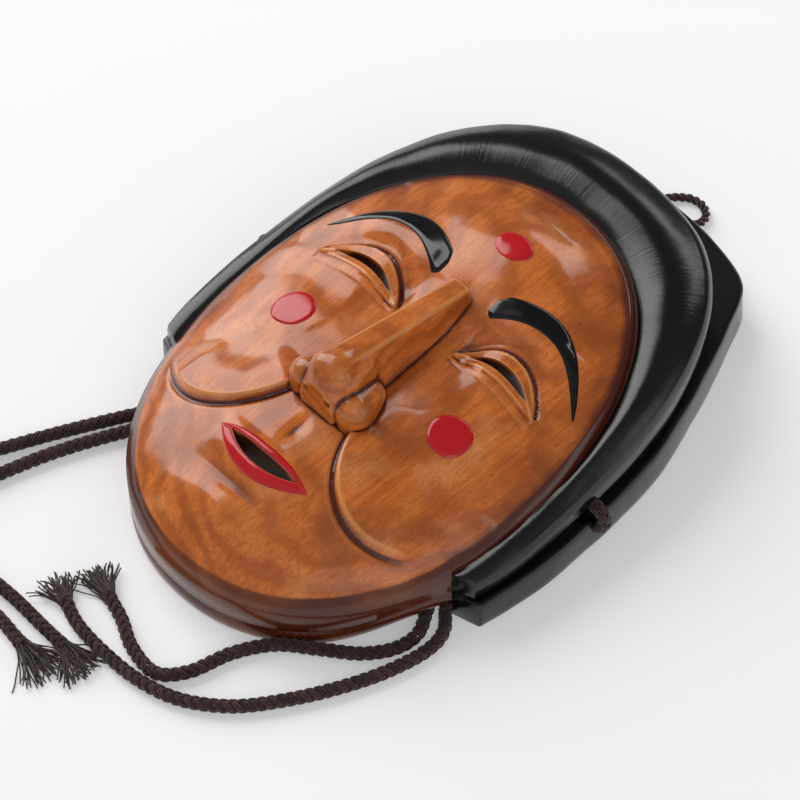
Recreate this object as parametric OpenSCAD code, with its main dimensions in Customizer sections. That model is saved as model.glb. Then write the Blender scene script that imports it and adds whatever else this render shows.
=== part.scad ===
// Carved wooden face mask with a lacquered face, a black hair roll, two tie
// cords and a hanging loop. It lies on its back: +Z points out of the face,
// +Y from the chin to the top of the head, and the origin is on the surface
// that it lies on, at the middle of the mask.

/* [Face] */
// Half width of the face inside the hair
face_half_w = 68; // [62:1:70]
// Distance from the middle of the egg up to the hairline
face_top = 91.5; // [88:0.5:94]
// Distance from the middle of the egg down to the chin
face_chin = 88.5; // [84:0.5:92]
// Height of the middle of the face, without its features
crown_z = 42; // [38:1:46]
// Extra height of the forehead
forehead_rise = 7; // [2:1:10]
// Thickness of the carved shell
shell_t = 8; // [7:0.5:9]
// Gap between the jaw's rim and the surface, where the cords come out
jaw_gap = 6.5; // [5.5:0.5:8]

/* [Features] */
// Height of the eye line from the middle of the mask
eye_y = 0; // [-4:1:4]
// Distance of each eye from the centre line
eye_x = 31; // [28:1:34]
// Height of the mouth line from the middle of the mask
mouth_y = -72; // [-76:1:-68]
// Width of the eye and mouth slits
slit_w = 3.6; // [2.5:0.1:3.9]
// Diameter of the painted cheek spots
spot_d = 15; // [12:1:18]
// Thickness of a painted film
film_t = 0.6; // [0.4:0.1:1]

/* [Hair] */
// Half width of the hair roll across its lip
lip_half_w = 75.5; // [74:0.5:77]
// Distance from the middle of the egg up to the roll's lip
lip_top = 119; // [115:1:122]
// Height of the roll's outer wall
roll_wall = 8; // [6:0.5:9]
// Height of the lower hair at the jaw
lower_hair_h = 11.5; // [10.5:0.5:12.5]
// Rise of the lower hair's top for each millimetre towards the head's top
lower_hair_rise = 0.035; // [0.02:0.005:0.05]

/* [Cords] */
// Diameter of the braided tie cord
tie_d = 4.6; // [4:0.1:4.8]
// Diameter of the holes for the tie cord
tie_hole_d = 5; // [4.9:0.1:5.4]
// Height of the upper and lower tie holes
tie_hole_z = [18.5, 9]; // [6:0.5:20]
// Diameter of the twisted cord of the hanging loop
loop_d = 2.9; // [2.5:0.1:3.1]
// Half the distance between the loop's two holes
loop_half_w = 6.5; // [5:0.5:8]
// Height of the loop's holes
loop_z = 5; // [4:0.5:6]

/* [Hidden] */

wood_brown = [0.68, 0.38, 0.17];
lacquer_black = [0.06, 0.06, 0.07];
lacquer_red = [0.78, 0.06, 0.1];
cord_brown = [0.2, 0.12, 0.1];

mid_y = -22;          // middle of the egg that the face follows
face_power = 2.15;    // squareness of the face's outline
lip_power = 2.6;      // squareness of the roll's outline
lip_low = 66;         // distance from the egg's middle down to the roll's ends
stations = 96;        // points round the face
step = 360 / stations;
jaw_y = mid_y - 31;   // where the hair ends at the jaw
rim_in = 15;          // width of the hair's rim behind the roll
chamfer = 3;          // height of the chamfer round the face
edge_in = 0.965;      // where the chamfer starts, as a share of the radius

function egg(t, half, top, low, power) =
    [half * sign(cos(t)) * pow(abs(cos(t)), 2 / power),
     mid_y + (sin(t) > 0 ? top : low) * sign(sin(t)) * pow(abs(sin(t)), 2 / power)];
function clamp01(v) = min(1, max(0, v));
function smooth(v) = clamp01(v) * clamp01(v) * (3 - 2 * clamp01(v));
function lerp(a, b, f) = a + (b - a) * f;

// The egg's outlines at angle t: face, hollow and the roll's lip
function face_at(t) = egg(t, face_half_w, face_top, face_chin, face_power);
function hollow_at(t) =
    egg(t, face_half_w - shell_t, face_top - shell_t, face_chin - shell_t, face_power);
function lip_at(t) = egg(t, lip_half_w, lip_top, lip_low, lip_power);

// Heights along the mask: face's edge, roll's lip, top of the lower hair
function edge_z(y) = 21 + (y > jaw_y ? 0.17 : 0.07) * (y - jaw_y);
function lip_z(y) = 20.5 + 0.135 * (y - jaw_y - 3);
function split_z(y) = lower_hair_h + lower_hair_rise * (y - jaw_y);

function roll_w(t) = norm(lip_at(t) - face_at(t));
// How far the hollow spreads under the roll, 0 at the jaw to 1 at the top
function spread(t) = smooth((roll_w(t) - rim_in) / 8);
function under_roll_z(t) =
    let (y = face_at(t)[1])
    lerp(split_z(y), edge_z(y) - shell_t - 1, spread(t));
function rim_z(t) =
    let (y = face_at(t)[1])
    y < jaw_y - 10 ? jaw_gap * smooth((y + 98) / 34)
                   : lerp(jaw_gap, under_roll_z(t), spread(t));

// The face's surface: a dome with a forehead, brow ridges and eyeballs
function bump(x, y, cx, cy, wx, wy) = exp(-(pow((x - cx) / wx, 2) + pow((y - cy) / wy, 2)));
function relief(x, y) =
    forehead_rise * bump(x, y, 0, 36, 42, 28)
    + 2.2 * bump(abs(x), y, 34, 18, 22, 7)
    - 3.4 * bump(abs(x), y, 16, 2, 7, 9)
    + 1.8 * bump(abs(x), y, eye_x, eye_y - 2, 14, 6)
    + 2 * bump(abs(x), y, 34, -26, 18, 16)
    + 2.4 * bump(x, y, 0, mouth_y, 22, 12)
    + 2 * bump(x, y, 0, -94, 16, 9);
function dome_z(share, t) =
    let (low = edge_z(face_at(t)[1]) + chamfer)
    lerp(low, crown_z, pow(1 - pow(share / edge_in, 2.5), 0.8));
function front_point(share, t) =
    let (p = lerp([0, mid_y], face_at(t), share),
         fade = smooth((1 - share) / 0.3))
    [p[0], p[1], dome_z(share, t) + relief(p[0], p[1]) * fade];
function inside_point(share, t) =
    let (p = lerp([0, mid_y], hollow_at(t), share), low = rim_z(t),
         high = dome_z(share * 0.88, t) - shell_t - 1)
    [p[0], p[1],
     lerp(low, high, pow(1 - pow(share, 6), 0.6))
     + forehead_rise * bump(p[0], p[1], 0, 36, 42, 28) * smooth((1 - share) / 0.3)];

// A closed body from rings of equal length between two poles
module ring_body(first, rings, last) {
    n = len(rings[0]);
    m = len(rings);
    end = 1 + m * n;
    polyhedron(
        points = concat([first], [for (r = rings) each r], [last]),
        faces = concat(
            [for (i = [0 : n - 1]) [0, 1 + (i + 1) % n, 1 + i]],
            [for (j = [0 : m - 2], i = [0 : n - 1], k = [0, 1])
                let (a = 1 + j * n + i, b = 1 + j * n + (i + 1) % n)
                k == 0 ? [a, b, b + n] : [a, b + n, a + n]],
            [for (i = [0 : n - 1]) [end, end - n + i, end - n + (i + 1) % n]]));
}

// A bar from sections of equal length, capped at both ends
module section_bar(sections) {
    n = len(sections[0]);
    m = len(sections);
    polyhedron(
        points = [for (s = sections) each s],
        faces = concat(
            [[for (i = [0 : n - 1]) i]],
            [for (j = [0 : m - 2], i = [0 : n - 1], k = [0, 1])
                let (a = j * n + i, b = j * n + (i + 1) % n)
                k == 0 ? [a, a + n, b + n] : [a, b + n, b]],
            [[for (i = [0 : n - 1]) m * n - 1 - i]]));
}

// The skin of the face between two heights above its surface
module face_skin(low, high) {
    rows = 20;
    angles = [for (i = [0 : stations - 1]) i * step];
    shares = [for (k = [1 : rows]) edge_in * pow(k / rows, 0.9)];
    up = [0, 0, high];
    down = [0, 0, low];
    ring_body(
        front_point(0, 0) + up,
        concat([for (s = shares) [for (t = angles) front_point(s, t) + up]],
               [for (k = [rows - 1 : -1 : 0])
                   [for (t = angles) front_point(shares[k], t) + down]]),
        front_point(0, 0) + down);
}

// The carved shell without its nose and openings
module shell_body() {
    rows = 20;
    inner_rows = 8;
    angles = [for (i = [0 : stations - 1]) i * step];
    rims = [for (t = angles) let (p = face_at(t), y = p[1]) [p[0], y, edge_z(y)]];
    ring_body(
        front_point(0, 0),
        concat(
            [for (k = [1 : rows])
                [for (t = angles) front_point(edge_in * pow(k / rows, 0.9), t)]],
            [rims],
            [[for (t = angles) let (p = face_at(t)) [p[0], p[1], rim_z(t)]]],
            [for (k = [inner_rows : -1 : 1])
                [for (t = angles) inside_point(sin(90 * k / inner_rows), t)]]),
        inside_point(0, 0));
}

// A straight wedge nose with a round tip and wings, cut flat underneath
module nose() {
    difference() {
        union() {
            hull()
                for (side = [-1, 1]) {
                    translate([side * 3, 13, 50]) sphere(1, $fn = 12);
                    translate([side * 6, 12, 38]) sphere(1, $fn = 12);
                    translate([side * 4, -38, 58.4]) sphere(1, $fn = 12);
                    translate([side * 10, -42, 38]) sphere(1, $fn = 12);
                }
            hull() {
                translate([0, -41, 53.5]) sphere(8.5, $fn = 24);
                translate([0, -45, 46]) sphere(8, $fn = 24);
                translate([0, -33, 51]) sphere(7, $fn = 24);
            }
            for (side = [-1, 1])
                hull() {
                    translate([side * 9, -43.5, 46]) sphere(5.5, $fn = 20);
                    translate([side * 7, -36, 45]) sphere(4.5, $fn = 20);
                }
        }
        translate([-20, -70, 30]) cube([40, 20, 40]);
        for (side = [-1, 1])
            translate([side * 4.5, -43, 50]) rotate([90, 0, 0])
                cylinder(h = 10, d = 3.2, $fn = 16);
    }
}

// An arched crescent along X: half length, arch height and width at its middle
module crescent(half, arch, width) {
    n = 12;
    mid = [for (i = [-n : n]) [half * i / n, arch * (1 - pow(i / n, 2))]];
    half_w = [for (i = [-n : n]) max(0.15, width / 2 * (1 - pow(abs(i / n), 2.4)))];
    polygon(concat(
        [for (i = [0 : 2 * n]) mid[i] + [0, half_w[i]]],
        [for (i = [2 * n : -1 : 0]) mid[i] - [0, half_w[i]]]));
}

module eye_slits() {
    for (side = [-1, 1])
        translate([side * eye_x, eye_y, 15]) linear_extrude(60)
            crescent(13, 3, slit_w);
}

module mouth_slit() {
    translate([0, mouth_y, 15]) linear_extrude(60)
        crescent(15, -2, slit_w);
}

// Holes through both side walls, along X, for the tie cords
module tie_holes() {
    for (z = tie_hole_z)
        translate([-90, 0, z]) rotate([0, 90, 0])
            cylinder(h = 180, d = tie_hole_d, $fn = 32);
}

// Holes through the top of the lower hair, along Y, for the loop's legs
module loop_holes() {
    for (side = [-1, 1])
        translate([side * loop_half_w, 70, loop_z]) rotate([-90, 0, 0])
            cylinder(h = 60, d = loop_d + 0.3, $fn = 32);
}

module face_shell() {
    color(wood_brown)
        difference() {
            resize([0, 0, 0])
                difference() {
                    union() {
                        shell_body();
                        nose();
                    }
                    eye_slits();
                    mouth_slit();
                }
            tie_holes();
        }
}

// A crest that rises from the hairline and rolls over to a sharp lip, with
// its outer wall undercut down to the groove above the lower hair
function roll_section(t) =
    let (a = face_at(t), b = lip_at(t), w = roll_w(t),
         inner_z = edge_z(a[1]), outer_z = lip_z(b[1]), crest = 1 + 0.12 * w,
         root = 1 - 4 / w, inner = max(0.02 / w, 1 - rim_in / w),
         profile = concat(
             [[0, under_roll_z(t)], [0, inner_z]],
             [for (f = [0.08, 0.25, 0.45, 0.65, 0.85])
                 [f, lerp(inner_z, outer_z, f) + crest * sin(180 * pow(f, 0.85))]],
             [[1, outer_z], [1 - 0.6 / w, outer_z - roll_wall],
              [root, split_z(lerp(a[1], b[1], root))],
              [inner, split_z(lerp(a[1], b[1], inner))]]))
    [for (p = profile) let (q = lerp(a, b, p[0])) [q[0], q[1], p[1]]];

hair_angles = [for (i = [-5 : 53]) i * step];

module front_hair() {
    color(lacquer_black)
        difference() {
            section_bar([for (t = hair_angles) roll_section(t)]);
            tie_holes();
        }
}

// The lower hair's outline from the jaw to the middle of the top, with the
// lobe that flares out beside the head
lobe_points = [[75, -50], [77.5, -30], [77.5, -8], [76, 12], [73, 32], [67.5, 50],
               [60, 70], [53, 86], [48, 97], [44, 102], [36, 105.5], [20, 109], [0, 110.5]];
function bend(a, b, c, d, f) =
    0.5 * (2 * b + (c - a) * f + (2 * a - 5 * b + 4 * c - d) * f * f
           + (3 * b - a - 3 * c + d) * f * f * f);
function curve(p, parts) =
    let (last = len(p) - 1)
    concat([for (i = [0 : last - 1], k = [0 : parts - 1])
               bend(p[max(0, i - 1)], p[i], p[i + 1], p[min(last, i + 2)], k / parts)],
           [p[last]]);
lobe_curve = curve(lobe_points, 3);
lobe_n = len(lobe_curve);

module back_hair_outline() {
    inner = [for (t = hair_angles)
        lerp(face_at(t), lip_at(t), max(0.02 / roll_w(t), 1 - rim_in / roll_w(t)))];
    polygon(concat(
        lobe_curve,
        [for (i = [lobe_n - 2 : -1 : 0]) [-lobe_curve[i][0], lobe_curve[i][1]]],
        [for (i = [len(inner) - 1 : -1 : 0]) inner[i]]));
}

module back_hair() {
    color(lacquer_black)
        difference() {
            linear_extrude(24) back_hair_outline();
            translate([-100, jaw_y, lower_hair_h]) rotate([atan(lower_hair_rise), 0, 0])
                translate([0, -60, 0]) cube([200, 300, 60]);
            tie_holes();
            loop_holes();
        }
}

// A film of lacquer, set 0.1 mm into the wood under it
module film() {
    resize([0, 0, 0])
        intersection() {
            face_skin(-0.1, film_t);
            linear_extrude(90) children();
        }
}

// A brow: thick and round beside the nose, thin at the temple
module brow_outline() {
    n = 16;
    mid = [for (i = [0 : n]) let (s = i / n) [11 + 46 * s, 17 + 11 * sin(160 * s) - 13 * s * s]];
    half_w = [for (i = [0 : n]) let (s = i / n)
        max(0.2, 4.8 * pow(1 - s, 0.6) * pow(min(1, (s + 0.01) / 0.12), 0.5))];
    polygon(concat(
        [for (i = [0 : n]) mid[i] + [0, half_w[i]]],
        [for (i = [n : -1 : 0]) mid[i] - [0, half_w[i]]]));
}

module right_brow() color(lacquer_black) film() brow_outline();
module left_brow() color(lacquer_black) film() mirror([1, 0]) brow_outline();

// Painted lips round the slit, split along the line of its corners
module lips_outline() {
    difference() {
        translate([0, mouth_y]) crescent(20, -2.6, 12);
        translate([0, mouth_y]) crescent(15.2, -2, slit_w + 0.4);
    }
}

module upper_lip() {
    color(lacquer_red) film() difference() {
        lips_outline();
        translate([-30, mouth_y - 22]) square([60, 20]);
    }
}

module lower_lip() {
    color(lacquer_red) film() difference() {
        lips_outline();
        translate([-30, mouth_y - 2.02]) square([60, 20]);
    }
}

module spot(x, y, width, height) {
    color(lacquer_red) film() translate([x, y])
        polygon([for (i = [0 : 31]) [width / 2 * cos(i * 11.25), height / 2 * sin(i * 11.25)]]);
}

module forehead_spot() spot(0, 38, spot_d - 1, spot_d - 4);
module right_cheek_spot() spot(36, -26, spot_d, spot_d);
module left_cheek_spot() spot(-36, -26, spot_d, spot_d);

// A cord: a tube swept along its own points, its sections kept upright by a
// reference direction
function unit(v) = v / norm(v);
function along(p, i) = unit(p[min(i + 1, len(p) - 1)] - p[max(i - 1, 0)]);
module cord(p, d, sides, reference = [0, 0, 1]) {
    section_bar([for (i = [0 : len(p) - 1])
        let (t = along(p, i), s = unit(cross(t, reference)), u = cross(s, t))
        [for (k = [0 : sides - 1])
            p[i] + d / 2 * (s * cos(-360 * k / sides) + u * sin(-360 * k / sides))]]);
}

wall_x = 66;      // where the stitch meets the strands, inside the bores
stitch_x = 79.6;  // how far the stitch stands out of the hair
z1 = tie_hole_z[0];
z2 = tie_hole_z[1];

// The short bridge of cord outside the hair, between the two holes
module right_tie_stitch() {
    color(cord_brown)
        cord([[wall_x + 0.1, 0, z1], [74, 0, z1], [77.6, 0, z1 - 0.4], [stitch_x, 0, z1 - 3],
              [stitch_x, 0, z2 + 3], [77.6, 0, z2 + 0.4], [74, 0, z2], [wall_x + 0.1, 0, z2]],
             tie_d, 10, [0, 1, 0]);
}
module left_tie_stitch() mirror([1, 0, 0]) right_tie_stitch();

right_upper_route = [[wall_x, 0, z1], [59, 0, z1], [52, -1, 17.5], [47, -6, 13], [46, -15, 7],
    [47, -25, 3.2], [49.5, -36, 2.5], [53, -47, 2.5], [59.5, -58.5, 2.5], [64, -67, 2.5],
    [63, -76, 2.5], [57, -85, 2.5], [47, -93, 2.5], [36, -102, 2.5], [29, -114, 2.5],
    [25, -128, 2.5], [18, -136, 2.5], [6, -135, 2.5], [-5, -130, 2.5], [-15, -127, 2.5]];
right_lower_route = [[wall_x, 0, z2], [58, 0, 8.8], [53, -7, 5], [53, -19, 2.6],
    [54, -32, 2.5], [57.5, -43.5, 2.5], [62.5, -53, 2.5], [69, -60.5, 2.5], [70.5, -70, 2.5],
    [67.5, -84, 2.5], [62, -98, 2.5], [54, -113, 2.5], [44, -127, 2.5], [31, -137, 2.5],
    [17, -141.5, 2.5], [2, -142.5, 2.5], [-12, -141.5, 2.5], [-23, -138, 2.5]];
left_upper_route = [[-wall_x, 0, z1], [-59, 0, z1], [-52, -1, 17.5], [-47, -6, 13], [-46, -15, 7],
    [-47, -26, 3.2], [-48, -38, 2.5], [-49, -48, 2.5], [-51.5, -59, 2.5], [-56, -72, 2.5],
    [-62, -85, 2.5], [-68, -99, 2.5], [-73, -114, 2.5], [-76, -128, 2.5], [-73, -141, 2.5],
    [-62, -148.5, 2.5], [-47, -149.5, 2.5], [-33, -149.2, 2.5], [-20, -149.7, 2.5],
    [-9, -149.9, 2.5]];
left_lower_route = [[-wall_x, 0, z2], [-58, 0, 8.8], [-54, -7, 5], [-54, -19, 2.6],
    [-54, -32, 2.5], [-54.5, -44, 2.5], [-55.5, -54, 2.5], [-59, -65.5, 2.5], [-65, -77, 2.5],
    [-72, -91, 2.5], [-79, -106, 2.5], [-85, -121, 2.5], [-87, -136, 2.5], [-82, -149, 2.5],
    [-70, -157, 2.5], [-57, -159, 2.5], [-44, -157.5, 2.5], [-32, -157.5, 2.5], [-19, -159, 2.5]];

module tie(route) color(cord_brown) cord(route, tie_d, 10);
module right_tie_upper() tie(right_upper_route);
module right_tie_lower() tie(right_lower_route);
module left_tie_upper() tie(left_upper_route);
module left_tie_lower() tie(left_lower_route);

// A frayed end: the yarns spread flat over the surface past the cord's end
module tuft(route, length, half_spread) {
    last = len(route) - 1;
    away = unit(route[last] - route[last - 1]);
    side = [-away[1], away[0], 0];
    color(cord_brown)
        hull() {
            translate(route[last] + away * 2.4) sphere(2.3, $fn = 10);
            for (k = [-1, 0, 1])
                translate(route[last] + away * (length - abs(k) * 2) + side * k * half_spread
                          - [0, 0, 0.8])
                    sphere(1.6, $fn = 8);
        }
}
module right_upper_tuft() tuft(right_upper_route, 14, 4);
module right_lower_tuft() tuft(right_lower_route, 11, 5);
module left_upper_tuft() tuft(left_upper_route, 13, 3);
module left_lower_tuft() tuft(left_lower_route, 14, 4.5);

hinge_y = 112.4;  // where the loop bends, just outside the hair
knot_y = 77.5;    // middle of the knot inside the hollow

// The legs end in a round knuckle, where the cord bends as the loop swings
module loop_legs() {
    color(cord_brown)
        for (side = [-1, 1]) {
            translate([side * loop_half_w, knot_y + 2.5, loop_z]) rotate([-90, 0, 0])
                cylinder(h = hinge_y - knot_y - 2.5, d = loop_d, $fn = 24);
            translate([side * loop_half_w - 1.2, hinge_y, loop_z]) rotate([0, 90, 0])
                cylinder(h = 2.4, d = loop_d, $fn = 24);
        }
}

// The knot that joins the two legs inside the hollow
module loop_knot() {
    color(cord_brown)
        translate([-loop_half_w - 1, knot_y, loop_z]) rotate([0, 90, 0])
            cylinder(h = 2 * loop_half_w + 2, d = 5, $fn = 24);
}

loop_route = [[-loop_half_w, hinge_y + 1.9, 4.6], [-7.4, 118, 2.8], [-5.6, 122.5, 1.7],
    [-1.5, 125.8, 1.6], [3.5, 126.2, 1.6], [7.4, 123.4, 1.6], [8.2, 118.6, 2.4],
    [loop_half_w, hinge_y + 1.9, 4.6]];
module hanging_loop() color(cord_brown) cord(loop_route, loop_d, 8);

face_shell();
front_hair();
back_hair();
left_brow();
right_brow();
upper_lip();
lower_lip();
forehead_spot();
left_cheek_spot();
right_cheek_spot();
left_tie_stitch();
right_tie_stitch();
left_tie_upper();
left_tie_lower();
right_tie_upper();
right_tie_lower();
left_upper_tuft();
left_lower_tuft();
right_upper_tuft();
right_lower_tuft();
loop_legs();
loop_knot();
hanging_loop();
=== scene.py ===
import math

import bmesh
import bpy
import numpy as np
from mathutils import Matrix, Vector, noise


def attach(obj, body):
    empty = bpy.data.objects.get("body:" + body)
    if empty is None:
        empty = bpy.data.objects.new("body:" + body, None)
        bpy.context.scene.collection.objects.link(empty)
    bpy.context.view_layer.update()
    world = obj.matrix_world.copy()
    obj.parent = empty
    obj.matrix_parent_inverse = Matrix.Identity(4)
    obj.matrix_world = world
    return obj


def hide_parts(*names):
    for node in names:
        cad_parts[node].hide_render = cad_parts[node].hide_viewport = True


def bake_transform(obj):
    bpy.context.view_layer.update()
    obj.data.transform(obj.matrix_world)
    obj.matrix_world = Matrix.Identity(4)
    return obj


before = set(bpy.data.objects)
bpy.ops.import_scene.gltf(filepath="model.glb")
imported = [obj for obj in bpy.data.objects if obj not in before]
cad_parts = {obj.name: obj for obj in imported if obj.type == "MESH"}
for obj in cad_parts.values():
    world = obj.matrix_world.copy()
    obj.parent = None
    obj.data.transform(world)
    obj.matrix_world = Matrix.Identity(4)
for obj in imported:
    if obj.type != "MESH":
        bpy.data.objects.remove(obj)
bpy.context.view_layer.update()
MM = 0.001

# ---- Camera ----
# It stands to the right of the chin and looks down across the mask through a
# long lens, which keeps the oval of the face true.
camera_turn, camera_rise = math.radians(46.6), math.radians(52)
camera_roll = math.radians(-0.4)
aim = Vector((1.7, -14.9, 18)) * MM
distance = 1304 * MM
back = Vector((math.sin(camera_turn) * math.cos(camera_rise),
               -math.cos(camera_turn) * math.cos(camera_rise), math.sin(camera_rise)))
right = Vector((math.cos(camera_turn), math.sin(camera_turn), 0))
up = back.cross(right)
right, up = (right * math.cos(camera_roll) + up * math.sin(camera_roll),
             up * math.cos(camera_roll) - right * math.sin(camera_roll))
camera_data = bpy.data.cameras.new("camera")
camera_data.sensor_width = 36
camera_data.lens = 181.7
camera = bpy.data.objects.new("camera", camera_data)
camera.matrix_world = Matrix.Translation(aim + back * distance) @ Matrix(
    (right, up, back)).transposed().to_4x4()
bpy.context.scene.collection.objects.link(camera)
bpy.context.scene.camera = camera

# ---- Floor and light ----
# The mask lies on a pale opal table. A large softbox on its left gives the lacquer
# a broad sheen, two strips draw the edges of the hair, and a weak fill opens the
# shadows on the right.
def linear(hex_colour):
    """The linear colour of an sRGB hex value."""
    parts = [int(hex_colour[i:i + 2], 16) / 255 for i in (1, 3, 5)]
    return tuple(p / 12.92 if p <= 0.04045 else ((p + 0.055) / 1.055) ** 2.4
                 for p in parts) + (1,)


def add_node(tree, kind, settings=None, **inputs):
    """Adds a node, sets its settings, and fills or links the sockets that are named."""
    node = tree.nodes.new(kind)
    for name, value in (settings or {}).items():
        setattr(node, name, value)
    for name, value in inputs.items():
        key = int(name[1:]) if name[0] == "i" and name[1:].isdigit() else name.replace("_", " ")
        if isinstance(value, bpy.types.NodeSocket):
            tree.links.new(value, node.inputs[key])
        else:
            node.inputs[key].default_value = value
    return node


def new_material(name):
    """An empty material with its output, as (material, tree, output)."""
    material = bpy.data.materials.new(name)
    material.use_nodes = True
    material.node_tree.nodes.clear()
    return material, material.node_tree, material.node_tree.nodes.new("ShaderNodeOutputMaterial")


def finished_mesh(name, bm):
    """The mesh of a bmesh that is done with."""
    mesh = bpy.data.meshes.new(name)
    bm.to_mesh(mesh)
    bm.free()
    return mesh


def shape_object(name, bm):
    """A plain object from a bmesh: the floor, or something to build or cut a piece with."""
    made = bpy.data.objects.new(name, finished_mesh(name, bm))
    bpy.context.scene.collection.objects.link(made)
    return made


# Opal acrylic, sanded matt: no gloss, and lit a little from below, so that it stays
# nearly even from corner to corner.
opal_acrylic, tree, out = new_material("opal_acrylic_table")
acrylic_shader = add_node(tree, "ShaderNodeBsdfPrincipled", Base_Color=linear("#e8e8e8"),
                          Roughness=0.9, Specular_IOR_Level=0, Emission_Color=(1, 1, 1, 1),
                          Emission_Strength=0.28)
tree.links.new(acrylic_shader.outputs[0], out.inputs[0])

floor_half = 3000 * MM
floor_bm = bmesh.new()
bmesh.ops.create_grid(floor_bm, x_segments=1, y_segments=1, size=floor_half)
floor = shape_object("floor", floor_bm)
floor.data.materials.append(opal_acrylic)

# The room is bright behind the camera and dim behind the mask.
world = bpy.data.worlds.new("studio")
world.use_nodes = True
sky = world.node_tree
looking = add_node(sky, "ShaderNodeTexCoord")
ahead = add_node(sky, "ShaderNodeVectorMath", {"operation": "DOT_PRODUCT"},
                 i0=looking.outputs["Generated"], i1=(0.66, -0.72, 0.2))
glow = add_node(sky, "ShaderNodeMapRange", {"interpolation_type": "SMOOTHSTEP"},
                Value=ahead.outputs["Value"], From_Min=-0.35, To_Min=0.14, To_Max=0.5)
sky.nodes["Background"].inputs["Color"].default_value = (0.97, 0.98, 1, 1)
sky.links.new(glow.outputs[0], sky.nodes["Background"].inputs["Strength"])
bpy.context.scene.world = world
bpy.context.scene.view_settings.view_transform = "Standard"


def softbox(name, place, width, depth, power, colour):
    """An area light at a place, facing the middle of the mask."""
    data = bpy.data.lights.new(name, "AREA")
    data.shape = "RECTANGLE"
    data.size, data.size_y, data.energy, data.color = width, depth, power, colour
    lamp = bpy.data.objects.new(name, data)
    facing = (Vector((0, 0, 0.02)) - Vector(place)).to_track_quat("-Z", "Z")
    lamp.matrix_world = Matrix.Translation(place) @ facing.to_matrix().to_4x4()
    bpy.context.scene.collection.objects.link(lamp)


softbox("key_softbox", (-2.38, 0.2, 1.8), 2.9, 2.1, 74, (1, 0.99, 0.98))
softbox("back_strip", (-0.4, 2.6, 1.5), 2.0, 0.4, 8, (1, 1, 1))
softbox("low_right_strip", (2.6, 1.3, 0.75), 2.2, 0.8, 6, (1, 1, 1))
softbox("right_fill", (2.2, -0.9, 2.3), 2, 2, 12, (1, 1, 1))

# ---- Tie cords ----
# Two round braided cords of dark brown yarn, one on each side. Each is folded in
# half through two holes in the hair: the short bight shows outside, and both
# halves run down inside the hollow, out under the jaw and over the floor.
z_upper, z_lower = 18.5, 9
wall_x, stitch_x = 66, 79.6
tie_routes = {
    "right_tie_upper": [
        (wall_x, 0, z_upper), (59, 0, z_upper), (52, -1, 17.5), (47, -6, 13), (46, -15, 7),
        (47, -25, 3.2), (49.5, -36, 2.5), (53, -47, 2.5), (59.5, -58.5, 2.5), (64, -67, 2.5),
        (63, -76, 2.5), (57, -85, 2.5), (47, -93, 2.5), (36, -102, 2.5), (29, -114, 2.5),
        (25, -128, 2.5), (18, -136, 2.5), (6, -135, 2.5), (-5, -130, 2.5), (-15, -127, 2.5)],
    "right_tie_lower": [
        (wall_x, 0, z_lower), (58, 0, 8.8), (53, -7, 5), (53, -19, 2.6), (54, -32, 2.5),
        (57.5, -43.5, 2.5), (62.5, -53, 2.5), (69, -60.5, 2.5), (70.5, -70, 2.5),
        (67.5, -84, 2.5), (62, -98, 2.5), (54, -113, 2.5), (44, -127, 2.5), (31, -137, 2.5),
        (17, -141.5, 2.5), (2, -142.5, 2.5), (-12, -141.5, 2.5), (-23, -138, 2.5)],
    "left_tie_upper": [
        (-wall_x, 0, z_upper), (-59, 0, z_upper), (-52, -1, 17.5), (-47, -6, 13), (-46, -15, 7),
        (-47, -26, 3.2), (-48, -38, 2.5), (-49, -48, 2.5), (-51.5, -59, 2.5), (-56, -72, 2.5),
        (-62, -85, 2.5), (-68, -99, 2.5), (-73, -114, 2.5), (-76, -128, 2.5), (-73, -141, 2.5),
        (-62, -148.5, 2.5), (-47, -149.5, 2.5), (-33, -149.2, 2.5), (-20, -149.7, 2.5),
        (-9, -149.9, 2.5)],
    "left_tie_lower": [
        (-wall_x, 0, z_lower), (-58, 0, 8.8), (-54, -7, 5), (-54, -19, 2.6), (-54, -32, 2.5),
        (-54.5, -44, 2.5), (-55.5, -54, 2.5), (-59, -65.5, 2.5), (-65, -77, 2.5),
        (-72, -91, 2.5), (-79, -106, 2.5), (-85, -121, 2.5), (-87, -136, 2.5),
        (-82, -149, 2.5), (-70, -157, 2.5), (-57, -159, 2.5), (-44, -157.5, 2.5),
        (-32, -157.5, 2.5), (-19, -159, 2.5)],
}


def smooth_line(points, spacing):
    """A line through the points, rounded between them, as evenly spaced places."""
    steps_between = 24
    p = np.array(points, float)
    padded = np.vstack([2 * p[0] - p[1], p, 2 * p[-1] - p[-2]])
    f = np.linspace(0, 1, steps_between, endpoint=False)[:, None]
    parts = []
    for i in range(len(p) - 1):
        a, b, c, d = padded[i:i + 4]
        parts.append(0.5 * (2 * b + (c - a) * f + (2 * a - 5 * b + 4 * c - d) * f ** 2
                            + (3 * b - a - 3 * c + d) * f ** 3))
    fine = np.vstack(parts + [p[-1:]])
    run = np.concatenate([[0], np.cumsum(np.linalg.norm(np.diff(fine, axis=0), axis=1))])
    wanted = np.linspace(0, run[-1], max(2, round(run[-1] / spacing) + 1))
    return np.stack([np.interp(wanted, run, fine[:, k]) for k in range(3)], axis=1)


def carried_frames(line, sideways=(0, 0, 1)):
    """The direction of the line at each place, with two crossways axes carried along it."""
    ahead = np.gradient(line, axis=0)
    ahead /= np.linalg.norm(ahead, axis=1)[:, None]
    first = np.cross(ahead[0], sideways)
    first /= np.linalg.norm(first)
    side = [first]
    for t in ahead[1:]:
        s = side[-1] - t * np.dot(side[-1], t)
        side.append(s / np.linalg.norm(s))
    side = np.array(side)
    return ahead, side, np.cross(ahead, side)


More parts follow.
